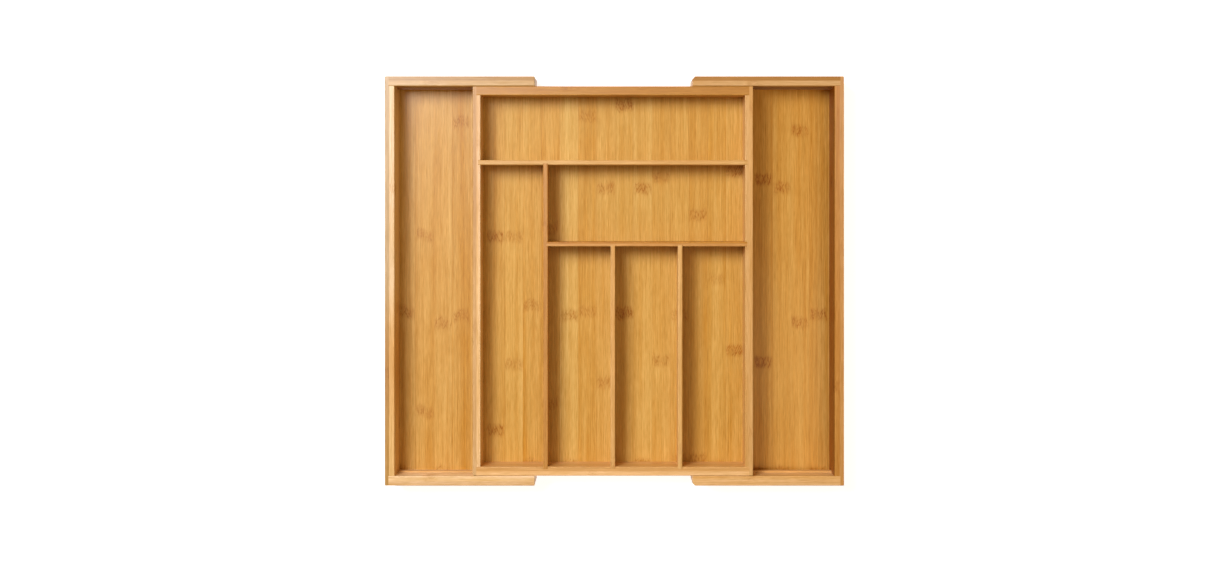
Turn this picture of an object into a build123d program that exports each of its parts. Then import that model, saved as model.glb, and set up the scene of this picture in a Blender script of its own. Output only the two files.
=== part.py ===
from build123d import *
import os

# Expandable drawer organizer of laminated bamboo: a six-compartment centre tray between two wings that
# pull out sideways and add a compartment each.
# Millimetres, +X to the right, +Y to the back, +Z up. The origin is on the surface that the organizer
# stands on, under the middle of its plan, with both wings pulled right out.

# Overall size with both wings out
overall_width = 498.0
overall_depth = 444.0
overall_height = 54.0
edge_ease = 0.8  # rounding of every edge that a hand can reach

# Wings
wing_board = 10.5  # thickness of the end walls and rails
corner_lap = 4.0  # how much of a side board's thickness runs on past the ends of the boards it meets
left_rail_length = 162.5
right_rail_length = 164.5
rail_end_chamfer = 3.0  # corner cut off the free ends of the right rails
closed_rail_gap = 2.4  # left between the left and right rails with both wings pushed in
wing_floor_thickness = 6.0
wing_floor_bottom = 2.5

# Centre tray
tray_width = 304.0
tray_centre_x = -1.7
tray_side_wall = 8.5
tray_long_wall = 9.8  # front and back walls
tray_bottom = 9.0
tray_floor_thickness = 5.0
tray_floor_bottom = 11.0

# Dividers
divider_thickness = 5.0
wall_dado = 2.5  # depth a divider is let into a tray wall
divider_dado = 1.5  # depth a divider is let into another divider
rear_divider_y = 128.5
mid_divider_y = 40.0
column_count = 4

# Floor panels sit loose in their grooves, so that they can swell
floor_groove_depth = 4.0
floor_groove_spare = 0.5

# Slides: a tongue on each rail, in a groove along the tray's front and back walls
rail_gap = 0.3  # between the tray and the rails
running_gap = 0.7  # at the tips of tongues and pegs
tongue_bottom = 23.0
tongue_height = 6.0
tongue_let_in = 3.0  # into the rail
tongue_stand_out = 2.0  # out of the rail, towards the tray
tongue_end_chamfer = 1.0
groove_clearance = 0.4  # above and below the tongue

# Stop pegs: driven in through each rail, they end in a blind slot at the bottom of the tray's groove
peg_radius = 2.0
peg_hole_clearance = 0.05
peg_setback = 8.0  # from the rail's free end
peg_stand_out = 6.0  # out of the rail's inner face
peg_slot_clearance = 0.4
peg_stop_gap = 0.3  # left between peg and slot end with the wing right out
peg_slot_spare = 1.0  # left between peg and slot end with the wing pushed in

# Worked out from the sizes above
half_width = overall_width / 2
half_depth = overall_depth / 2
wing_inner_x = half_width - wing_board
wing_inner_y = half_depth - wing_board
wing_floor_top = wing_floor_bottom + wing_floor_thickness
left_rail_end = half_width - left_rail_length
right_rail_end = half_width - right_rail_length
wing_travel = (left_rail_end + right_rail_end - closed_rail_gap) / 2

tray_left = tray_centre_x - tray_width / 2
tray_right = tray_centre_x + tray_width / 2
tray_outer_y = wing_inner_y - rail_gap
tray_inner_left = tray_left + tray_side_wall
tray_inner_right = tray_right - tray_side_wall
tray_inner_y = tray_outer_y - tray_long_wall
tray_floor_top = tray_floor_bottom + tray_floor_thickness

column_dividers = column_count - 1
column_width = (tray_inner_right - tray_inner_left - column_dividers * divider_thickness) / column_count
column_pitch = column_width + divider_thickness
first_divider_x = tray_inner_left + column_width + divider_thickness / 2

tongue_top = tongue_bottom + tongue_height
tongue_middle = tongue_bottom + tongue_height / 2
tongue_tip_y = wing_inner_y - tongue_stand_out
groove_floor_y = tongue_tip_y - running_gap
peg_tip_y = wing_inner_y - peg_stand_out
peg_slot_floor_y = peg_tip_y - running_gap
peg_length = half_depth - peg_tip_y

rear_divider_front = rear_divider_y - divider_thickness / 2
mid_divider_front = mid_divider_y - divider_thickness / 2
long_divider_right = first_divider_x + divider_thickness / 2


def column_divider_plan(column, rear_end):
    """Plan of a divider that runs from rear_end into the front wall, as its low and high corners."""
    middle = first_divider_x + column * column_pitch
    low = (middle - divider_thickness / 2, -tray_inner_y - wall_dado)
    high = (middle + divider_thickness / 2, rear_end)
    return low, high


def cross_divider_plan(middle, left_end):
    """Plan of a divider that runs from left_end into the right wall, as its low and high corners."""
    low = (left_end, middle - divider_thickness / 2)
    high = (tray_inner_right + wall_dado, middle + divider_thickness / 2)
    return low, high


divider_plans = {
    "rear_cross_divider": cross_divider_plan(rear_divider_y, tray_inner_left - wall_dado),
    "mid_cross_divider": cross_divider_plan(mid_divider_y, long_divider_right - divider_dado),
    "long_divider": column_divider_plan(0, rear_divider_front + divider_dado),
    "short_divider_left": column_divider_plan(1, mid_divider_front + divider_dado),
    "short_divider_right": column_divider_plan(2, mid_divider_front + divider_dado),
}

# Which dividers have an end let into a divider
dividers_let_in = {
    "rear_cross_divider": ["long_divider"],
    "mid_cross_divider": ["short_divider_left", "short_divider_right"],
    "long_divider": ["mid_cross_divider"],
    "short_divider_left": [],
    "short_divider_right": [],
}


def rectangle_between(low, high):
    """Draw the rectangle between two opposite corners in the sketch that is open."""
    with Locations(((low[0] + high[0]) / 2, (low[1] + high[1]) / 2)):
        Rectangle(high[0] - low[0], high[1] - low[1])


def cut_block(xs, ys, zs):
    """Cut the block that spans the given x, y and z ranges out of the part that is open."""
    spans = [sorted(span) for span in (xs, ys, zs)]
    middle = tuple(sum(span) / 2 for span in spans)
    length, width, height = (high - low for low, high in spans)
    with Locations(middle):
        Box(length, width, height, mode=Mode.SUBTRACT)


def cut_divider_dados(names):
    """Cut the dados of the named dividers, down to the tray floor, out of the part that is open."""
    for name in names:
        low, high = divider_plans[name]
        cut_block((low[0], high[0]), (low[1], high[1]), (tray_floor_top, overall_height))


def outward_axis(direction):
    """X axis that points away from the tray: direction is 1 on the right and -1 on the left."""
    return Axis((0, 0, 0), (direction, 0, 0))


def save(piece, name):
    """Label a finished piece and write it to its own file."""
    piece.part.label = name
    export_step(piece.part, f"parts/{name}.step")


def lapped_board(direction, inner_x, outer_x, inner_y, outer_y, bottom):
    """Side board whose outer ply laps past the ends of the two boards that it joins."""
    outward = outward_axis(direction)
    ply_x = outer_x - direction * corner_lap
    with BuildPart() as board:
        with BuildSketch(Plane.XY.offset(bottom)):
            rectangle_between((min(ply_x, outer_x), -outer_y), (max(ply_x, outer_x), outer_y))
            rectangle_between((min(inner_x, ply_x), -inner_y), (max(inner_x, ply_x), inner_y))
        extrude(amount=overall_height - bottom)
        top_edges = board.faces().sort_by(Axis.Z)[-1].edges()
        ply_ends = top_edges.filter_by(Axis.X).group_by(Axis.Y)
        outer_face_edges = board.faces().sort_by(outward)[-1].edges()
        inner_top_edge = top_edges.sort_by(outward)[0]
        fillet(outer_face_edges + ply_ends[0] + ply_ends[-1] + [inner_top_edge], edge_ease)
    return board.part


def make_end_wall(direction):
    """Outer end of a wing, grooved along its inner face for the wing's floor."""
    groove_x = wing_inner_x + floor_groove_depth
    groove_y = wing_inner_y + floor_groove_depth
    with BuildPart() as wall:
        add(
            lapped_board(
                direction,
                direction * wing_inner_x,
                direction * half_width,
                wing_inner_y,
                half_depth,
                0,
            )
        )
        cut_block(
            (0, direction * groove_x),
            (-groove_y, groove_y),
            (wing_floor_bottom, wing_floor_top),
        )
    return wall


def make_rail(direction, face, rail_end, end_chamfer):
    """Front or back board of a wing. face is 1 at the back and -1 at the front."""
    outward = outward_axis(direction)
    joint_x = half_width - corner_lap
    peg_x = rail_end + peg_setback
    low_x, high_x = sorted((direction * rail_end, direction * joint_x))
    low_y, high_y = sorted((face * wing_inner_y, face * half_depth))
    across = Axis((0, 0, 0), (0, face, 0))
    with BuildPart() as rail:
        with BuildSketch():
            rectangle_between((low_x, low_y), (high_x, high_y))
        extrude(amount=overall_height)
        if end_chamfer:
            free_end_edges = rail.edges().filter_by(Axis.Z).group_by(outward)[0]
            chamfer(free_end_edges.sort_by(across)[-1], end_chamfer)
        free_end_edges = rail.edges().filter_by(Axis.Z).group_by(outward)[0]
        top_edges = rail.faces().sort_by(Axis.Z)[-1].edges().sort_by(outward)[:-1]
        bottom_edges = rail.faces().sort_by(Axis.Z)[0].edges().sort_by(outward)[:-1]
        fillet(free_end_edges + top_edges + bottom_edges, edge_ease)
        cut_block(
            (0, direction * half_width),
            (0, face * (wing_inner_y + floor_groove_depth)),
            (wing_floor_bottom, wing_floor_top),
        )
        cut_block(
            (0, direction * wing_inner_x),
            (0, face * (wing_inner_y + tongue_let_in)),
            (tongue_bottom, tongue_top),
        )
        with BuildSketch(Plane.XZ):
            with Locations((direction * peg_x, tongue_middle)):
                Circle(peg_radius + peg_hole_clearance)
        extrude(amount=overall_depth, both=True, mode=Mode.SUBTRACT)
    return rail


def make_tongue(direction, face, rail_end):
    """Strip let into a rail's inner face, which carries and guides the tray's wall."""
    outward = outward_axis(direction)
    across = Axis((0, 0, 0), (0, face, 0))
    peg_x = rail_end + peg_setback
    low_x, high_x = sorted((direction * rail_end, direction * wing_inner_x))
    low_y, high_y = sorted((face * tongue_tip_y, face * (wing_inner_y + tongue_let_in)))
    with BuildPart() as tongue:
        with BuildSketch(Plane.XY.offset(tongue_bottom)):
            rectangle_between((low_x, low_y), (high_x, high_y))
        extrude(amount=tongue_height)
        free_end_edges = tongue.edges().filter_by(Axis.Z).group_by(outward)[0]
        chamfer(free_end_edges.sort_by(across)[0], tongue_end_chamfer)
        with BuildSketch(Plane.XZ):
            with Locations((direction * peg_x, tongue_middle)):
                Circle(peg_radius + peg_hole_clearance)
        extrude(amount=overall_depth, both=True, mode=Mode.SUBTRACT)
    return tongue


def make_stop_peg(direction, face, rail_end):
    """Dowel through a rail and its tongue, flush with the rail outside."""
    peg_x = rail_end + peg_setback
    with BuildPart() as peg:
        with BuildSketch(Plane.XZ.offset(-face * peg_tip_y)):
            with Locations((direction * peg_x, tongue_middle)):
                Circle(peg_radius)
        extrude(amount=-face * peg_length)
    return peg


def make_wing_floor(direction, rail_end):
    """Bottom panel of a wing, held in grooves on three sides and open towards the tray."""
    panel_x = wing_inner_x + floor_groove_depth - floor_groove_spare
    panel_y = wing_inner_y + floor_groove_depth - floor_groove_spare
    low_x, high_x = sorted((direction * rail_end, direction * panel_x))
    with BuildPart() as panel:
        with BuildSketch(Plane.XY.offset(wing_floor_bottom)):
            rectangle_between((low_x, -panel_y), (high_x, panel_y))
        extrude(amount=wing_floor_thickness)
        free_top_edge = panel.faces().sort_by(Axis.Z)[-1].edges().sort_by(outward_axis(direction))[0]
        fillet(free_top_edge, edge_ease)
    return panel


def cut_tray_floor_groove():
    """Cut the groove of the tray's floor out of the tray wall that is open."""
    reach_y = tray_inner_y + floor_groove_depth
    cut_block(
        (tray_inner_left - floor_groove_depth, tray_inner_right + floor_groove_depth),
        (-reach_y, reach_y),
        (tray_floor_bottom, tray_floor_top),
    )


def cut_slide_grooves():
    """Cut the grooves for the wings' tongues, front and back, out of the tray wall that is open."""
    for face in (-1, 1):
        cut_block(
            (tray_left, tray_right),
            (face * groove_floor_y, face * half_depth),
            (tongue_bottom - groove_clearance, tongue_top + groove_clearance),
        )


def make_tray_side_wall(direction, inner_x, outer_x):
    """Left or right wall of the centre tray."""
    with BuildPart() as wall:
        add(lapped_board(direction, inner_x, outer_x, tray_inner_y, tray_outer_y, tray_bottom))
        cut_tray_floor_groove()
        cut_slide_grooves()
        cut_divider_dados(divider_plans)
    return wall


def make_tray_long_wall(face):
    """Front or back wall of the centre tray, with the slide groove and two blind slots for stop pegs."""
    low_y, high_y = sorted((face * tray_inner_y, face * tray_outer_y))
    slot_half_height = peg_radius + peg_slot_clearance
    with BuildPart() as wall:
        with BuildSketch(Plane.XY.offset(tray_bottom)):
            rectangle_between((tray_left + corner_lap, low_y), (tray_right - corner_lap, high_y))
        extrude(amount=overall_height - tray_bottom)
        top_edges = wall.faces().sort_by(Axis.Z)[-1].edges().filter_by(Axis.X)
        bottom_edges = wall.faces().sort_by(Axis.Z)[0].edges().filter_by(Axis.X)
        fillet(top_edges + bottom_edges, edge_ease)
        cut_tray_floor_groove()
        cut_slide_grooves()
        cut_divider_dados(divider_plans)
        for direction, rail_end in ((-1, left_rail_end), (1, right_rail_end)):
            peg_x = rail_end + peg_setback
            cut_block(
                (
                    direction * (peg_x - wing_travel - peg_radius - peg_slot_spare),
                    direction * (peg_x + peg_radius + peg_stop_gap),
                ),
                (face * peg_slot_floor_y, face * tray_outer_y),
                (tongue_middle - slot_half_height, tongue_middle + slot_half_height),
            )
    return wall


def make_divider(name):
    """Upright divider that stands on the tray's floor, with dados for the dividers let into it."""
    with BuildPart() as divider:
        with BuildSketch(Plane.XY.offset(tray_floor_top)):
            rectangle_between(*divider_plans[name])
        extrude(amount=overall_height - tray_floor_top)
        top_edges = divider.faces().sort_by(Axis.Z)[-1].edges()
        fillet(top_edges.sort_by(Edge.length)[-2:], edge_ease)
        cut_divider_dados(dividers_let_in[name])
    return divider


os.makedirs("parts", exist_ok=True)

# Centre tray
with BuildPart() as tray_floor:
    panel_reach = floor_groove_depth - floor_groove_spare
    with BuildSketch(Plane.XY.offset(tray_floor_bottom)):
        rectangle_between(
            (tray_inner_left - panel_reach, -tray_inner_y - panel_reach),
            (tray_inner_right + panel_reach, tray_inner_y + panel_reach),
        )
    extrude(amount=tray_floor_thickness)
save(tray_floor, "tray_floor")

save(make_tray_side_wall(-1, tray_inner_left, tray_left), "tray_left_wall")
save(make_tray_side_wall(1, tray_inner_right, tray_right), "tray_right_wall")
save(make_tray_long_wall(1), "tray_back_wall")
save(make_tray_long_wall(-1), "tray_front_wall")
for divider_name in divider_plans:
    save(make_divider(divider_name), divider_name)

# Wings
for side, direction, rail_end, end_chamfer in (
    ("left", -1, left_rail_end, 0),
    ("right", 1, right_rail_end, rail_end_chamfer),
):
    save(make_end_wall(direction), f"{side}_end_wall")
    save(make_wing_floor(direction, rail_end), f"{side}_floor")
    for position, face in (("back", 1), ("front", -1)):
        save(make_rail(direction, face, rail_end, end_chamfer), f"{side}_{position}_rail")
        save(make_tongue(direction, face, rail_end), f"{side}_{position}_tongue")
        save(make_stop_peg(direction, face, rail_end), f"{side}_{position}_stop_peg")
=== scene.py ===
import bpy
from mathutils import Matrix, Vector


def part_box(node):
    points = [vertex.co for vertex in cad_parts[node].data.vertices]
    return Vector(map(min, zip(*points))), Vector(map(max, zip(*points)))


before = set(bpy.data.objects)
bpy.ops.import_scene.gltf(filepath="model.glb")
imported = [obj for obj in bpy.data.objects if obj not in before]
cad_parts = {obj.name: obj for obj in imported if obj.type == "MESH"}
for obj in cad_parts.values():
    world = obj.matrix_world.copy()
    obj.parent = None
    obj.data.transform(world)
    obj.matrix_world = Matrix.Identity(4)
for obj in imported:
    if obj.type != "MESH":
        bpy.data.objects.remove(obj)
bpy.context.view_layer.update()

# The looks of an expandable bamboo drawer organizer. All lengths are in metres.
MM = 0.001
ALONG_X, ALONG_Y = "along x", "along y"

# Camera: straight above, a little behind the middle, so that the front walls show their inner faces
CAMERA_HEIGHT = 1.914
CAMERA_Y = 0.080
CAMERA_X = 0.0001
VIEW_WIDTH = 1.3322  # width of the picture at the organizer's top
SENSOR_WIDTH = 36.0

# Light: a soft key from the back left and a weak warm fill. The right end wall has a mirrored key of its
# own, and the right floor a slightly weaker key and a fill from the right.
KEY_PLACE = (-0.66, 0.51, 1.62)
KEY_AIM = (0.8, -1.2, 0.0)  # past the organizer, so that its far corner is lit as well as its near one
KEY_SIZE = (0.58, 0.80)
KEY_COLOUR = (0.98, 1.0, 1.06)
END_KEY_PLACE = (0.72, 0.51, 1.62)
END_KEY_AIM = (-0.8, -1.2, 0.0)
SIDE_FILL_PLACE = (0.62, -0.30, 1.62)
SIDE_FILL_SIZE = (0.30, 0.66)
SIDE_FILL_COLOUR = (1.0, 0.81, 0.48)
FILL_PLACE = (0.40, 0.25, 2.3)
FILL_SIZE = (1.8, 2.2)
FILL_COLOUR = (1.0, 0.80, 0.48)
MIDDLE = (0.0, 0.0, 0.0)  # where the fills look
END_WALL, RIGHT_FLOOR = "right_end_wall", "right_floor"
LAMPS = [
    # name, place, aim, size, power in watts, tint, the only nodes it lights, the nodes it misses
    ("key", KEY_PLACE, KEY_AIM, KEY_SIZE, 33.0, KEY_COLOUR, [], [END_WALL, RIGHT_FLOOR]),
    ("right_key", KEY_PLACE, KEY_AIM, KEY_SIZE, 28.0, KEY_COLOUR, [RIGHT_FLOOR], []),
    ("end_key", END_KEY_PLACE, END_KEY_AIM, KEY_SIZE, 33.0, KEY_COLOUR, [END_WALL], []),
    ("side_fill", SIDE_FILL_PLACE, MIDDLE, SIDE_FILL_SIZE, 7.8, SIDE_FILL_COLOUR, [RIGHT_FLOOR], []),
    ("fill", FILL_PLACE, MIDDLE, FILL_SIZE, 11.0, FILL_COLOUR, [], [END_WALL, RIGHT_FLOOR]),
]
WORLD_STRENGTH = 0.24
WORLD_COLOUR = (1.0, 0.78, 0.40, 1.0)
BACKDROP_COLOUR = (0.92, 0.92, 0.93, 1.0)

# Stage: pale matt card that glows a little, so that it comes out white
STAGE_HALF_SIZE = 6.0
STAGE_TONE = 0.86
STAGE_MOTTLE = 0.004
STAGE_MOTTLE_SIZE = (0.05, 0.05, 0.05)
STAGE_ROUGHNESS = 0.7
STAGE_GLOW_COLOUR = (0.88, 0.92, 1.0, 1.0)
STAGE_GLOW = 0.80

# Bamboo
STRIP_WIDTH = 18 * MM  # height of the strips that a board is glued up from
PANEL_STRIP = 20.4 * MM  # width of the strips that a floor is glued up from
NO_RING = -1.0  # a ring place off the end of the panel
RING_SPACING = 350 * MM  # between two rings of the cane, along one strip
BOARD_RING_STRENGTH = 0.8
ROW_SHIFT, PLY_SHIFT = 0.37, 0.43  # of the rings from strip to strip of a board, in ring spacings
ROW_KEY, PLY_KEY = 0.173, 0.519  # steps of the strips' keys within a board
BOARD_SEED_STEP = 7.31
FIRST_PANEL_SEED, PANEL_SEED_STEP = 300.5, 40
GLUE_LINE, GLUE_SEEP = 0.08 * MM, 0.35 * MM  # how far the glue shows in full, and at all, on each side
GLUE_STRENGTH = 0.30
ROUGHNESS = 0.40
COAT_ROUGHNESS = 0.24
COAT_IOR = 1.5
SURFACE_BUMP = 0.25
BUMP_DISTANCE = 0.12 * MM
SMEAR = (45 * MM, 45 * MM, 45 * MM)
RUBBED_PATCH = (30 * MM, 30 * MM, 30 * MM)
BUNDLE = (0.8 * MM, 0.8 * MM, 0.8 * MM)  # dots of the cane's end grain

# A strip's stretch of cane is picked at random within this length and depth
CANE_LENGTH, CANE_DEPTH = 9.0, 3.0

# Size of the grain's features: along the strip, across it and through it
LONG_STREAK = (170 * MM, 0.9 * MM, 0.9 * MM)
SHORT_STREAK = (40 * MM, 0.75 * MM, 0.75 * MM)
FIBRE = (11 * MM, 0.45 * MM, 0.45 * MM)
PORE = (26 * MM, 0.55 * MM, 0.55 * MM)
WIDE_STREAK = (320 * MM, 5.5 * MM, 5.5 * MM)
NARROW_STREAK = (240 * MM, 2.4 * MM, 2.4 * MM)
CLOUD = (45 * MM, 8 * MM, 8 * MM)

# What those features add to the strip's tone, and to the shade of its fibres
WIDE_TONE, NARROW_TONE, CLOUD_TONE, PALE_ZONE_TONE = 0.34, 0.12, 0.16, 0.12
LONG_SHADE, SHORT_SHADE, FIBRE_SHADE, PORE_SHADE = 0.38, 0.58, 0.66, -0.45
BOARD_TONE, BOARD_TONE_SPREAD = 0.35, 0.30  # lowest tone of a board's strips, and how far above it they go

# What the surface's features add to the roughness, and to the height of the bump
FIBRE_ROUGHNESS, PORE_ROUGHNESS, RING_ROUGHNESS = 0.05, 0.16, 0.10
SMEAR_ROUGHNESS, WORN_ROUGHNESS, END_GRAIN_ROUGHNESS = 0.035, 0.14, 0.20
FIBRE_HEIGHT, STREAK_HEIGHT, PORE_HEIGHT, GLUE_HEIGHT, RING_HEIGHT = 0.25, 0.25, -0.8, -1.5, 0.4

# Smooth steps: the two ends, and the values there if they aren't 0 and 1
PORE_STEP = (0.62, 1.1)
PATCH_STEP = (-0.6, 0.6, 0.5, 1.0)
DAB_STEP = (0.0, 0.9, 0.32, 1.0)
BUNDLE_STEP = (0.0, 0.9, 0.55, 1.0)
RUBBING_STEP = (-0.6, 0.8)
END_FACE_STEP = (0.72, 0.96)  # of the normal's part along the grain
EASED_EDGE_STEP = (0.80, 0.985, 1.0, 0.0)  # of the normal's largest part

# Ring marks: how far each feature reaches, and the size of the noise that shapes it
SWERVE_REACH = 16 * MM  # how far from the ring its fibres swerve
SWERVE, SWERVE_SIZE = 0.9 * MM, (14 * MM, 5 * MM, 1.0)
RAGGEDNESS, RAGGED_SIZE = 1.8 * MM, (1.0, 1.5 * MM, 1.5 * MM)
ARCH, ARCH_SIZE = 2.0 * MM, (1.0, 11 * MM, 1.0)
BLOTCH_SIZE = (3.0 * MM, 2.6 * MM, 1.0)
MARK_CORE, MARK_END = 2.5 * MM, 9.0 * MM  # half length of the full mark, and of the fading one
MARK_SIDE, MARK_AT_EDGE = 3.5 * MM, 0.35  # how far from the strip's edge it fades, and what is left there
DAB_SIZE = (1.0, 1.25 * MM, 1.25 * MM)
DAB_SLOPES = ((0.32, 2.0), (-0.38, 7.0))  # slope of the two crossing sets of dabs, and their noise's place
DAB_CURVE = 0.35
PALE_ZONE_AWAY = 14 * MM  # from the ring to the middle of the paler stretch beside it
PALE_ZONE_CORE, PALE_ZONE_END = 3 * MM, 11 * MM  # its half length in full, and with its fading ends

# What the strip's own colour is multiplied by
DEEP_CANE, PALE_CANE = (0.93, 0.86, 0.68, 1.0), (1.07, 1.15, 1.42, 1.0)
DARK_FIBRE, LIGHT_FIBRE = (0.90, 0.865, 0.75, 1.0), (1.10, 1.135, 1.25, 1.0)
ROSY_CANE = (1.0, 0.96, 0.91, 1.0)
RING_STAIN = (0.64, 0.42, 0.15, 1.0)
GLUE_STAIN = (0.60, 0.42, 0.26, 1.0)
END_GRAIN_STAIN = (0.58, 0.54, 0.50, 1.0)
WORN_EDGE = (1.08, 1.14, 1.28, 1.0)
WORN_STRENGTH = 0.6


# ---------------------------------------------------------------- node helpers


class Nodes:
    """Adds nodes to one tree, and joins them as they are made."""

    def __init__(self, tree):
        self.tree = tree

    def add(self, kind, **settings):
        node = self.tree.nodes.new(kind)
        for name, value in settings.items():
            setattr(node, name, value)
        return node

    def feed(self, socket, value):
        """Joins value to socket if it is an output, and otherwise sets it as the socket's own value."""
        if value is None:
            return
        if isinstance(value, bpy.types.NodeSocket):
            self.tree.links.new(value, socket)
        else:
            socket.default_value = value

    def math(self, operation, a, b=None, c=None):
        node = self.add("ShaderNodeMath", operation=operation)
        for socket, value in zip(node.inputs, (a, b, c)):
            self.feed(socket, value)
        return node.outputs[0]

    def add_up(self, *values):
        total = values[0]
        for value in values[1:]:
            total = self.math("ADD", total, value)
        return total

    def multiply(self, *values):
        product = values[0]
        for value in values[1:]:
            product = self.math("MULTIPLY", product, value)
        return product

    def step(self, value, low, high, to_low=0.0, to_high=1.0):
        """Smooth step of value from low to high."""
        node = self.add("ShaderNodeMapRange", interpolation_type="SMOOTHSTEP")
        self.feed(node.inputs["Value"], value)
        self.feed(node.inputs["From Min"], low)
        self.feed(node.inputs["From Max"], high)
        self.feed(node.inputs["To Min"], to_low)
        self.feed(node.inputs["To Max"], to_high)
        return node.outputs["Result"]

    def vector(self, x, y, z):
        node = self.add("ShaderNodeCombineXYZ")
        for socket, value in zip(node.inputs, (x, y, z)):
            self.feed(socket, value)
        return node.outputs[0]

    def split(self, vector):
        node = self.add("ShaderNodeSeparateXYZ")
        self.feed(node.inputs[0], vector)
        return node.outputs[0], node.outputs[1], node.outputs[2]

    def noise(self, vector, size, detail=0.0, roughness=0.5):
        """Noise about 0, mostly between -1 and 1, whose grains have the given size along each axis."""
        scaled = self.add("ShaderNodeVectorMath", operation="DIVIDE")
        self.feed(scaled.inputs[0], vector)
        self.feed(scaled.inputs[1], size)
        noise = self.add("ShaderNodeTexNoise", noise_dimensions="3D")
        self.feed(noise.inputs["Vector"], scaled.outputs[0])
        self.feed(noise.inputs["Scale"], 1.0)
        self.feed(noise.inputs["Detail"], detail)
        self.feed(noise.inputs["Roughness"], roughness)
        return self.math("MULTIPLY_ADD", noise.outputs["Fac"], 4.0, -2.0)

    def random(self, vector):
        """Three random numbers from 0 to 1 for each different vector."""
        noise = self.add("ShaderNodeTexWhiteNoise", noise_dimensions="3D")
        self.feed(noise.inputs["Vector"], vector)
        return self.split(noise.outputs["Color"])

    def mix(self, factor, a, b, blend="MIX"):
        node = self.add("ShaderNodeMix", data_type="RGBA", blend_type=blend)
        self.feed(node.inputs["Factor"], factor)
        self.feed(node.inputs["A"], a)
        self.feed(node.inputs["B"], b)
        return node.outputs["Result"]

    def blend_between(self, factor, a, b):
        """Colour on the line through a, at 0, and b, at 1, and a little beyond them."""
        beyond = 0.6
        within = self.math("MINIMUM", self.math("MAXIMUM", factor, -beyond), 1 + beyond)
        node = self.add("ShaderNodeMix", data_type="RGBA", clamp_factor=False)
        self.feed(node.inputs["Factor"], within)
        self.feed(node.inputs["A"], a)
        self.feed(node.inputs["B"], b)
        return node.outputs["Result"]


def colour(red, green, blue):
    """Colour socket value of an 8-bit sRGB colour."""

    def linear(value):
        value /= 255
        return value / 12.92 if value <= 0.04045 else ((value + 0.055) / 1.055) ** 2.4

    return (linear(red), linear(green), linear(blue), 1.0)


def new_group(name, inputs, outputs):
    """Empty node group with the given (name, type) sockets."""
    tree = bpy.data.node_groups.new(name, "ShaderNodeTree")
    for in_out, sockets in (("INPUT", inputs), ("OUTPUT", outputs)):
        for socket_name, kind in sockets:
            tree.interface.new_socket(socket_name, in_out=in_out, socket_type="NodeSocket" + kind)
    nodes = Nodes(tree)
    start = nodes.add("NodeGroupInput")
    end = nodes.add("NodeGroupOutput")
    return tree, nodes, start.outputs, end.inputs


def use_group(nodes, tree, **values):
    """Adds a group to a tree. An underscore in a value's name stands for a space in the socket's."""
    node = nodes.add("ShaderNodeGroup", node_tree=tree)
    for name, value in values.items():
        nodes.feed(node.inputs[name.replace("_", " ")], value)
    return node.outputs


# ---------------------------------------------------------------- bamboo


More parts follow.
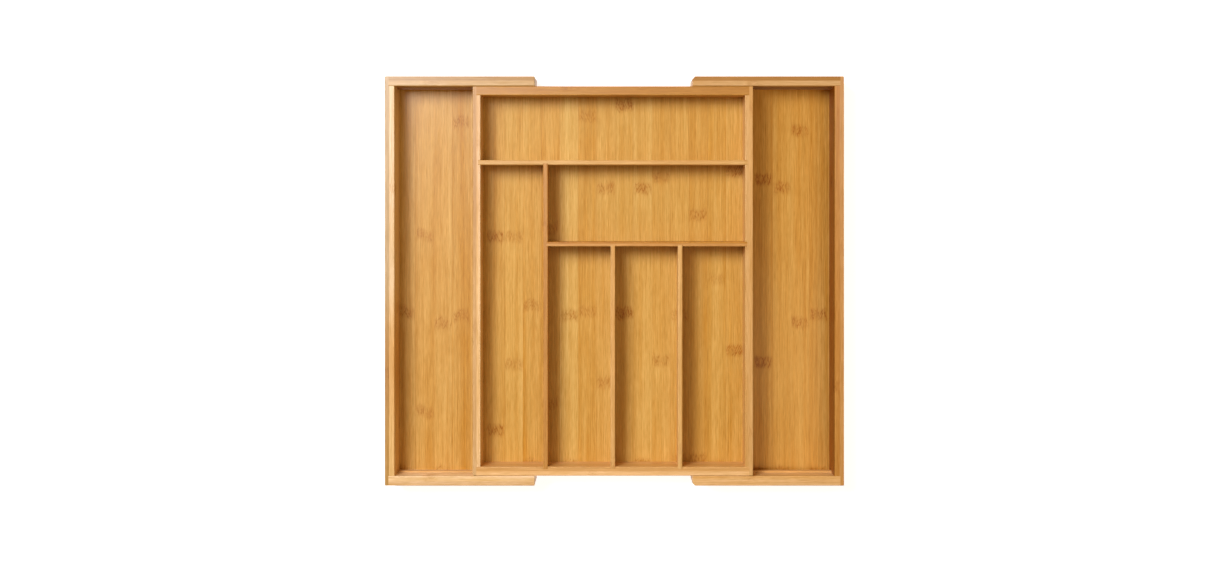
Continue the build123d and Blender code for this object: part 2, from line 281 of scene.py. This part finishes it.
def make_strip_group():
    """One strip of cane: fibres, pores, the ring mark and the tone.

    Place is (along the grain, across the strip, through the strip). Key is a number of its own for each
    strip. Tone goes from 0, deep, to 1, pale. Joint is the distance to the strip's edge, and Ring the signed
    distance from its ring.
    """
    tree, n, start, end = new_group(
        "bamboo strip",
        [
            ("Place", "Vector"),
            ("Key", "Float"),
            ("Base", "Color"),
            ("Tone", "Float"),
            ("Joint", "Float"),
            ("Ring", "Float"),
            ("Ring Strength", "Float"),
        ],
        [("Color", "Color"), ("Gloss Loss", "Float"), ("Height", "Float")],
    )
    u, a, b = n.split(start["Place"])
    random_1, random_2, random_3 = n.random(n.vector(start["Key"], 0.5, 0.5))

    # Each strip has its own stretch of cane, and its fibres swerve a little round the ring
    shifted_u = n.math("MULTIPLY_ADD", random_1, CANE_LENGTH, u)
    near_ring = n.step(n.math("ABSOLUTE", start["Ring"]), 0.0, SWERVE_REACH, 1.0, 0.0)
    swerve = n.noise(n.vector(shifted_u, a, random_2), SWERVE_SIZE)
    swerved_a = n.add_up(a, n.multiply(swerve, near_ring, SWERVE))
    shifted_b = n.math("MULTIPLY_ADD", random_3, CANE_DEPTH, b)
    along = n.vector(shifted_u, swerved_a, shifted_b)

    long_streaks = n.noise(along, LONG_STREAK, detail=1.0)
    short_streaks = n.noise(along, SHORT_STREAK, detail=1.0)
    fibres = n.noise(along, FIBRE, detail=1.0, roughness=0.6)
    pores = n.step(n.noise(along, PORE), *PORE_STEP)
    wide_streaks = n.noise(along, WIDE_STREAK)
    narrow_streaks = n.noise(along, NARROW_STREAK)
    clouds = n.noise(along, CLOUD)

    # Ring mark: a faint brown patch of short dabs, ragged at both ends and fading at the strip's edges
    ring = start["Ring"]
    ragged = n.noise(n.vector(random_2, swerved_a, b), RAGGED_SIZE, detail=1.0)
    arch = n.noise(n.vector(random_3, a, 3.0), ARCH_SIZE)
    ring_distance = n.add_up(ring, n.multiply(ragged, RAGGEDNESS), n.multiply(arch, ARCH))
    band = n.step(n.math("ABSOLUTE", ring_distance), MARK_CORE, MARK_END, 1.0, 0.0)
    across = n.step(start["Joint"], 0.0, MARK_SIDE, MARK_AT_EDGE, 1.0)
    blotches = n.noise(n.vector(ring, a, random_1), BLOTCH_SIZE)
    patches = n.step(blotches, *PATCH_STEP)
    crossing_sets = []
    for slope, noise_place in DAB_SLOPES:
        leaning = n.add_up(a, n.multiply(ring, slope), n.multiply(arch, ring, DAB_CURVE))
        where = n.vector(n.math("ADD", random_3, noise_place), leaning, b)
        crossing_sets.append(n.noise(where, DAB_SIZE))
    dabs = n.multiply(n.step(n.math("MAXIMUM", *crossing_sets), *DAB_STEP), patches)
    ring_mark = n.multiply(band, across, dabs, start["Ring Strength"])
    from_pale_zone = n.math("ABSOLUTE", n.math("ADD", ring_distance, PALE_ZONE_AWAY))
    in_pale_zone = n.step(from_pale_zone, PALE_ZONE_CORE, PALE_ZONE_END, 1.0, 0.0)
    pale_zone = n.multiply(in_pale_zone, start["Ring Strength"])

    # Colour: the strip's tone, its fibres, and then the stains
    tone = n.add_up(
        start["Tone"],
        n.multiply(wide_streaks, WIDE_TONE),
        n.multiply(narrow_streaks, NARROW_TONE),
        n.multiply(clouds, CLOUD_TONE),
        n.multiply(pale_zone, PALE_ZONE_TONE),
    )
    fibre_shade = n.add_up(
        0.5,
        n.multiply(long_streaks, LONG_SHADE),
        n.multiply(short_streaks, SHORT_SHADE),
        n.multiply(fibres, FIBRE_SHADE),
        n.multiply(pores, PORE_SHADE),
    )
    toned = n.mix(1.0, start["Base"], n.blend_between(tone, DEEP_CANE, PALE_CANE), "MULTIPLY")
    fibred = n.mix(1.0, toned, n.blend_between(fibre_shade, DARK_FIBRE, LIGHT_FIBRE), "MULTIPLY")
    warm = n.mix(random_2, fibred, ROSY_CANE, "MULTIPLY")
    marked = n.mix(ring_mark, warm, RING_STAIN, "MULTIPLY")
    glue = n.step(start["Joint"], GLUE_LINE, GLUE_SEEP, GLUE_STRENGTH, 0.0)
    n.feed(end["Color"], n.mix(glue, marked, GLUE_STAIN, "MULTIPLY"))

    n.feed(
        end["Gloss Loss"],
        n.add_up(
            n.multiply(fibres, FIBRE_ROUGHNESS),
            n.multiply(pores, PORE_ROUGHNESS),
            n.multiply(ring_mark, RING_ROUGHNESS),
        ),
    )
    n.feed(
        end["Height"],
        n.add_up(
            n.multiply(fibres, FIBRE_HEIGHT),
            n.multiply(long_streaks, STREAK_HEIGHT),
            n.multiply(pores, PORE_HEIGHT),
            n.multiply(glue, GLUE_HEIGHT),
            n.multiply(ring_mark, ragged, RING_HEIGHT),
        ),
    )
    return tree


def add_bamboo_shader(n, strip, grain, gloss, coat):
    """Clear satin lacquer over a bamboo strip: joins the strip's outputs to a shader."""
    coordinates = n.add("ShaderNodeTexCoord")
    place = coordinates.outputs["Object"]
    squareness = None
    for axis, part in zip((ALONG_X, ALONG_Y, None), n.split(coordinates.outputs["Normal"])):
        part = n.math("ABSOLUTE", part)
        squareness = part if squareness is None else n.math("MAXIMUM", squareness, part)
        if axis == grain:
            facing_ends = part

    # End grain is darker and duller, with the cane's bundles as dots
    end_grain = n.step(facing_ends, *END_FACE_STEP)
    bundles = n.step(n.noise(place, BUNDLE), *BUNDLE_STEP)
    end_stain = n.multiply(end_grain, bundles)
    surface_colour = n.mix(end_stain, strip["Color"], END_GRAIN_STAIN, "MULTIPLY")

    # Eased edges are rubbed a little paler, here and there
    eased_edge = n.step(squareness, *EASED_EDGE_STEP)
    rubbing = n.step(n.noise(place, RUBBED_PATCH, detail=2.0), *RUBBING_STEP)
    worn = n.multiply(eased_edge, rubbing)
    surface_colour = n.mix(n.multiply(worn, WORN_STRENGTH), surface_colour, WORN_EDGE, "MULTIPLY")
    smears = n.noise(place, SMEAR, detail=3.0, roughness=0.6)

    shader = n.add("ShaderNodeBsdfPrincipled")
    n.feed(shader.inputs["Base Color"], surface_colour)
    n.feed(
        shader.inputs["Roughness"],
        n.add_up(
            ROUGHNESS,
            strip["Gloss Loss"],
            n.multiply(smears, SMEAR_ROUGHNESS),
            n.multiply(worn, WORN_ROUGHNESS),
            n.multiply(end_grain, END_GRAIN_ROUGHNESS),
        ),
    )
    shader.inputs["Specular IOR Level"].default_value = gloss
    shader.inputs["Coat Weight"].default_value = coat
    shader.inputs["Coat Roughness"].default_value = COAT_ROUGHNESS
    shader.inputs["Coat IOR"].default_value = COAT_IOR
    bump = n.add("ShaderNodeBump")
    bump.inputs["Strength"].default_value = SURFACE_BUMP
    bump.inputs["Distance"].default_value = BUMP_DISTANCE
    n.feed(bump.inputs["Height"], strip["Height"])
    n.feed(shader.inputs["Normal"], bump.outputs["Normal"])
    output = n.add("ShaderNodeOutputMaterial")
    n.feed(output.inputs["Surface"], shader.outputs["BSDF"])


def new_material(name):
    material = bpy.data.materials.new(name)
    material.use_nodes = True
    material.node_tree.nodes.clear()
    return material, Nodes(material.node_tree)


def board_material(name, grain, outward, outer_ply, outer_colour, inner_colour, seed, ring_at):
    """Upright board of two plies, each of strips one above the other.

    outward is the sign of the side that the outer ply is on, and outer_ply its thickness. ring_at is the
    ring's place on the top strip of the outer ply.
    """
    material, n = new_material(name)
    x, y, z = n.split(n.add("ShaderNodeTexCoord").outputs["Object"])
    low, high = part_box(name)
    u, through = (x, y) if grain == ALONG_X else (y, x)
    axis = 1 if grain == ALONG_X else 0
    ply_edge = high[axis] - outer_ply if outward > 0 else low[axis] + outer_ply

    # Which strip: counted down from the top, and by ply
    down = n.math("DIVIDE", n.math("SUBTRACT", TOP, z), STRIP_WIDTH)
    row = n.math("FLOOR", down)
    in_row = n.math("FRACT", down)
    joint = n.multiply(n.math("MINIMUM", in_row, n.math("SUBTRACT", 1.0, in_row)), STRIP_WIDTH)
    from_ply_edge = n.multiply(n.math("SUBTRACT", through, ply_edge), outward)
    ply = n.math("GREATER_THAN", from_ply_edge, 0.0)
    joint = n.math("MINIMUM", joint, n.math("ABSOLUTE", from_ply_edge))
    key = n.add_up(n.multiply(row, ROW_KEY), n.multiply(ply, PLY_KEY), seed)

    # The rings of neighbouring strips are never in line
    inner_ply = n.math("SUBTRACT", 1.0, ply)
    shift = n.add_up(n.multiply(row, ROW_SHIFT), n.multiply(inner_ply, PLY_SHIFT))
    turns = n.math("ADD", n.math("DIVIDE", n.math("SUBTRACT", u, ring_at), RING_SPACING), shift)
    from_nearest = n.math("SUBTRACT", n.math("FRACT", n.math("ADD", turns, 0.5)), 0.5)
    ring = n.multiply(from_nearest, RING_SPACING)

    # Painted light and shade: some boards are darker along a part of their length, so that the rest looks
    # lit by the key light's sheen, or to even out the key light's fall-off
    base = n.mix(ply, colour(*inner_colour), colour(*outer_colour))
    for middle, half_length, shade_tint in PAINTED_SHADE_STRETCHES.get(name, []):
        distance = n.math("ABSOLUTE", n.math("SUBTRACT", u, middle))
        painted_shade = n.step(distance, half_length - FADE, half_length + FADE, 1.0, 0.0)
        base = n.mix(painted_shade, base, shade_tint, "MULTIPLY")

    row_tone, _, _ = n.random(n.vector(key, 4.5, 1.5))
    strip = use_group(
        n,
        strip_group,
        Place=n.vector(u, z, through),
        Key=key,
        Base=base,
        Tone=n.math("MULTIPLY_ADD", row_tone, BOARD_TONE_SPREAD, BOARD_TONE),
        Joint=joint,
        Ring=ring,
        Ring_Strength=BOARD_RING_STRENGTH,
    )
    gloss, coat = DULL_LACQUER if name in DULL_BOARDS else SATIN_LACQUER
    add_bamboo_shader(n, strip, grain, gloss, coat)
    return material


def panel_material(name, base, first_edge, strips, seed):
    """Flat panel of equal strips side by side, with the grain along Y.

    strips has each strip's tone, the strength of its rings and the places of up to two of them, from left to
    right. The first strip starts at first_edge.
    """
    material, n = new_material(name)
    x, y, z = n.split(n.add("ShaderNodeTexCoord").outputs["Object"])
    low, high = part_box(name)
    length = high.y - low.y

    # A stepped ramp looks up a strip's tone and rings, with the rings' strength as its alpha
    count = n.math("DIVIDE", n.math("SUBTRACT", x, first_edge), PANEL_STRIP)
    strip_number = n.math("FLOOR", count)
    table = n.add("ShaderNodeValToRGB")
    ramp = table.color_ramp
    ramp.interpolation = "CONSTANT"
    for index, (strip_tone, ring_strength, *rings) in enumerate(strips):
        shares = [(ring - low.y) / length for ring in rings]
        ring_1, ring_2 = (shares + [NO_RING, NO_RING])[:2]
        position = index / len(strips)
        stop = ramp.elements[index] if index < 2 else ramp.elements.new(position)
        stop.position = position
        stop.color = (strip_tone, ring_1, ring_2, ring_strength)
    n.feed(table.inputs["Fac"], n.math("DIVIDE", n.math("ADD", strip_number, 0.5), len(strips)))
    tone, ring_1, ring_2 = n.split(table.outputs["Color"])

    in_strip = n.math("FRACT", count)
    joint = n.multiply(n.math("MINIMUM", in_strip, n.math("SUBTRACT", 1.0, in_strip)), PANEL_STRIP)
    along = n.math("SUBTRACT", y, low.y)
    ring_1 = n.math("SUBTRACT", along, n.multiply(ring_1, length))
    ring_2 = n.math("SUBTRACT", along, n.multiply(ring_2, length))
    nearer = n.math("LESS_THAN", n.math("ABSOLUTE", ring_2), n.math("ABSOLUTE", ring_1))
    ring = n.math("MULTIPLY_ADD", nearer, n.math("SUBTRACT", ring_2, ring_1), ring_1)
    strip = use_group(
        n,
        strip_group,
        Place=n.vector(y, x, z),
        Key=n.math("ADD", strip_number, seed),
        Base=colour(*base),
        Tone=tone,
        Joint=joint,
        Ring=ring,
        Ring_Strength=table.outputs["Alpha"],
    )
    gloss, coat = PANEL_LACQUER[name]
    add_bamboo_shader(n, strip, ALONG_Y, gloss, coat)
    return material


def give(node_name, material):
    """Puts a material in the CAD node's material slots."""
    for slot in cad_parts[node_name].material_slots:
        slot.material = material


# ---------------------------------------------------------------- the organizer

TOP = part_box("left_end_wall")[1].z

strip_group = make_strip_group()

WHOLE = -1 * MM  # outer ply of a board that has only one
OFF = 0.300  # ring place that leaves the top strip clear

# Gloss and coat of the lacquer
SATIN_LACQUER = (0.45, 0.20)
DULL_LACQUER = (0.15, 0.04)
DULL_BOARDS = {"right_end_wall"}
PANEL_LACQUER = {
    "tray_floor": (0.15, 0.14),
    "left_floor": (0.22, 0.22),
    "right_floor": (0.14, 0.13),
}

# Stretches of painted shade, darker cane standing in for the key light's sheen and fall-off: the middle and
# half length along the board, and what its colour is multiplied by
FADE = 45 * MM  # half the length over which such a stretch fades out
PAINTED_SHADE_STRETCHES = {
    "left_end_wall": [
        (-0.180, 0.145, (0.97, 0.86, 0.58, 1.0)),
        (-0.090, 0.045, (0.90, 0.78, 0.62, 1.0)),
    ],
    "tray_left_wall": [(0.200, 0.150, (0.90, 0.84, 0.78, 1.0))],
    "rear_cross_divider": [(0.120, 0.130, (0.97, 0.89, 0.76, 1.0))],
}

# The colours are of the bare cane, as 8-bit sRGB
BOARDS = [
    # name, grain, outward, outer ply, outer ply's colour, inner ply's colour, ring place
    ("left_end_wall", ALONG_Y, -1, 4.8 * MM, (198, 168, 120), (235, 202, 153), -0.099),
    ("left_back_rail", ALONG_X, 1, 4.8 * MM, (186, 144, 82), (204, 166, 105), OFF),
    # The left front rail's pale inner ply is partly the cane's own colour and partly painted sheen of the
    # key light
    ("left_front_rail", ALONG_X, -1, 4.8 * MM, (228, 186, 130), (244, 209, 158), OFF),
    ("right_end_wall", ALONG_Y, 1, 4.8 * MM, (203, 148, 76), (200, 138, 58), 0.037),
    ("right_back_rail", ALONG_X, 1, 4.8 * MM, (178, 126, 51), (213, 168, 106), OFF),
    ("right_front_rail", ALONG_X, -1, 4.8 * MM, (229, 182, 117), (234, 188, 122), OFF),
    ("tray_left_wall", ALONG_Y, -1, 4.2 * MM, (211, 169, 109), (244, 205, 149), OFF),
    ("tray_right_wall", ALONG_Y, 1, 4.2 * MM, (219, 171, 102), (219, 171, 102), 0.186),
    ("tray_back_wall", ALONG_X, 1, 4.9 * MM, (190, 131, 44), (194, 137, 51), OFF),
    ("tray_front_wall", ALONG_X, -1, 4.9 * MM, (240, 193, 128), (221, 171, 102), -0.023),
    ("rear_cross_divider", ALONG_X, 1, WHOLE, (219, 173, 101), (219, 173, 101), OFF),
    ("mid_cross_divider", ALONG_X, 1, 2.2 * MM, (196, 134, 40), (208, 152, 77), OFF),
    ("long_divider", ALONG_Y, -1, WHOLE, (197, 138, 59), (197, 138, 59), -0.140),
    ("short_divider_left", ALONG_Y, -1, WHOLE, (222, 172, 101), (222, 172, 101), OFF),
    ("short_divider_right", ALONG_Y, -1, WHOLE, (223, 176, 105), (223, 176, 105), -0.032),
    # The two back tongues' darker colours are painted shade: their ledges stand for ledges lying in the back
    # rails' shadow
    ("left_back_tongue", ALONG_X, 1, WHOLE, (176, 124, 66), (176, 124, 66), OFF),
    ("left_front_tongue", ALONG_X, -1, WHOLE, (206, 158, 92), (206, 158, 92), OFF),
    ("right_back_tongue", ALONG_X, 1, WHOLE, (170, 116, 58), (170, 116, 58), OFF),
    ("right_front_tongue", ALONG_X, -1, WHOLE, (214, 162, 90), (214, 162, 90), OFF),
    ("left_back_stop_peg", ALONG_Y, 1, WHOLE, (212, 162, 96), (212, 162, 96), OFF),
    ("left_front_stop_peg", ALONG_Y, -1, WHOLE, (216, 168, 102), (216, 168, 102), OFF),
    ("right_back_stop_peg", ALONG_Y, 1, WHOLE, (206, 152, 84), (206, 152, 84), OFF),
    ("right_front_stop_peg", ALONG_Y, -1, WHOLE, (210, 156, 88), (210, 156, 88), OFF),
]

# Floors: the bare cane's colour, the first strip's left edge, and each strip from left to right with its
# tone, the strength of its ring marks, and their places
PANELS = {
    "tray_floor": (
        (200, 153, 72),
        -162.4 * MM,
        [
            (0.40, 0.8),
            (0.50, 1.3, 0.048, -0.166),
            (0.60, 0.8, 0.048, -0.093),
            (0.26, 0.8, -0.029),
            (0.53, 0.7, 0.058, -0.136),
            (0.96, 0.9, -0.040),
            (0.22, 0.7, 0.181, -0.035),
            (0.75, 1.0, 0.101, -0.114),
            (0.43, 1.3, 0.193, -0.037),
            (0.80, 1.1, 0.100),
            (0.55, 0.8, 0.114, -0.089),
            (0.47, 0.6, -0.040, -0.200),
            (0.38, 1.0, 0.072, -0.198),
            (0.36, 0.4, 0.000),
            (0.46, 1.3, 0.119, -0.079),
            (0.40, 0.8),
        ],
    ),
    "left_floor": (
        (199, 151, 72),
        -261.8 * MM,
        [
            (0.50, 0.8),
            (0.50, 1.0, -0.036),
            (0.50, 0.9, 0.049, -0.147),
            (0.75, 0.8, -0.050),
            (0.10, 0.7, 0.174, -0.041),
            (0.85, 0.8),
            (0.50, 0.8, 0.100),
            (0.40, 0.8),
            (0.60, 0.8),
        ],
    ),
    "right_floor": (
        (203, 151, 68),
        73.5 * MM,
        [
            (0.50, 0.8),
            (0.40, 0.8),
            (0.60, 0.8, -0.100),
            (0.40, 0.8),
            (0.34, 1.25, 0.111, -0.092),
            (0.34, 1.0, 0.101),
            (0.55, 0.9, 0.165, -0.048),
            (0.24, 1.1, -0.039),
            (0.50, 0.8),
        ],
    ),
}

for number, (name, *details, ring_at) in enumerate(BOARDS):
    give(name, board_material(name, *details, seed=number * BOARD_SEED_STEP, ring_at=ring_at))

for number, (name, (base, first_edge, strips)) in enumerate(PANELS.items()):
    panel_seed = FIRST_PANEL_SEED + number * PANEL_SEED_STEP
    give(name, panel_material(name, base, first_edge, strips, panel_seed))


# ---------------------------------------------------------------- stage


def floor_material():
    """Pale matt card."""
    material, n = new_material("stage_floor")
    place = n.add("ShaderNodeTexCoord").outputs["Object"]
    mottle = n.noise(place, STAGE_MOTTLE_SIZE, detail=3.0)
    shader = n.add("ShaderNodeBsdfPrincipled")
    tone = n.math("MULTIPLY_ADD", mottle, STAGE_MOTTLE, STAGE_TONE)
    n.feed(shader.inputs["Base Color"], n.vector(tone, tone, tone))
    shader.inputs["Roughness"].default_value = STAGE_ROUGHNESS
    shader.inputs["Emission Color"].default_value = STAGE_GLOW_COLOUR
    shader.inputs["Emission Strength"].default_value = STAGE_GLOW
    output = n.add("ShaderNodeOutputMaterial")
    n.feed(output.inputs["Surface"], shader.outputs["BSDF"])
    return material


def make_floor():
    mesh = bpy.data.meshes.new("floor")
    signs = [(-1, -1), (1, -1), (1, 1), (-1, 1)]
    corners = [(x * STAGE_HALF_SIZE, y * STAGE_HALF_SIZE, 0.0) for x, y in signs]
    mesh.from_pydata(corners, [], [(0, 1, 2, 3)])
    floor = bpy.data.objects.new("floor", mesh)
    bpy.context.scene.collection.objects.link(floor)
    mesh.materials.append(floor_material())


def add_area_light(name, place, aim, size, power, tint, only, without):
    """Soft lamp that looks at aim. only and without name the CAD nodes that it's limited to or misses."""
    light = bpy.data.lights.new(name, "AREA")
    light.shape = "RECTANGLE"
    light.size, light.size_y = size
    light.energy = power
    light.color = tint
    lamp = bpy.data.objects.new(name, light)
    lamp.location = place
    lamp.rotation_euler = (Vector(aim) - Vector(place)).to_track_quat("-Z", "Y").to_euler()
    lamp.visible_camera = False
    bpy.context.scene.collection.objects.link(lamp)
    if only or without:
        lit = bpy.data.collections.new(f"lit_by_{name}")
        for node_name in only or without:
            lit.objects.link(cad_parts[node_name])
        for member in lit.collection_objects:
            member.light_linking.link_state = "INCLUDE" if only else "EXCLUDE"
        lamp.light_linking.receiver_collection = lit


def add_world():
    """Warm light from all round, behind a backdrop that's as pale as the floor."""
    world = bpy.data.worlds.new("studio")
    world.use_nodes = True
    world.node_tree.nodes.clear()
    n = Nodes(world.node_tree)
    lighting = n.add("ShaderNodeBackground")
    lighting.inputs["Color"].default_value = WORLD_COLOUR
    lighting.inputs["Strength"].default_value = WORLD_STRENGTH
    backdrop = n.add("ShaderNodeBackground")
    backdrop.inputs["Color"].default_value = BACKDROP_COLOUR
    seen = n.add("ShaderNodeMixShader")
    n.feed(seen.inputs[0], n.add("ShaderNodeLightPath").outputs["Is Camera Ray"])
    n.feed(seen.inputs[1], lighting.outputs["Background"])
    n.feed(seen.inputs[2], backdrop.outputs["Background"])
    output = n.add("ShaderNodeOutputWorld")
    n.feed(output.inputs["Surface"], seen.outputs[0])
    bpy.context.scene.world = world


def add_camera():
    camera = bpy.data.cameras.new("camera")
    distance = CAMERA_HEIGHT - TOP
    camera.sensor_width = SENSOR_WIDTH
    camera.lens = SENSOR_WIDTH * distance / VIEW_WIDTH
    camera.shift_y = -CAMERA_Y / VIEW_WIDTH
    body = bpy.data.objects.new("camera", camera)
    body.location = (CAMERA_X, CAMERA_Y, CAMERA_HEIGHT)
    bpy.context.scene.collection.objects.link(body)
    bpy.context.scene.camera = body


make_floor()
for lamp_details in LAMPS:
    add_area_light(*lamp_details)
add_world()
add_camera()
bpy.context.scene.view_settings.view_transform = "Standard"
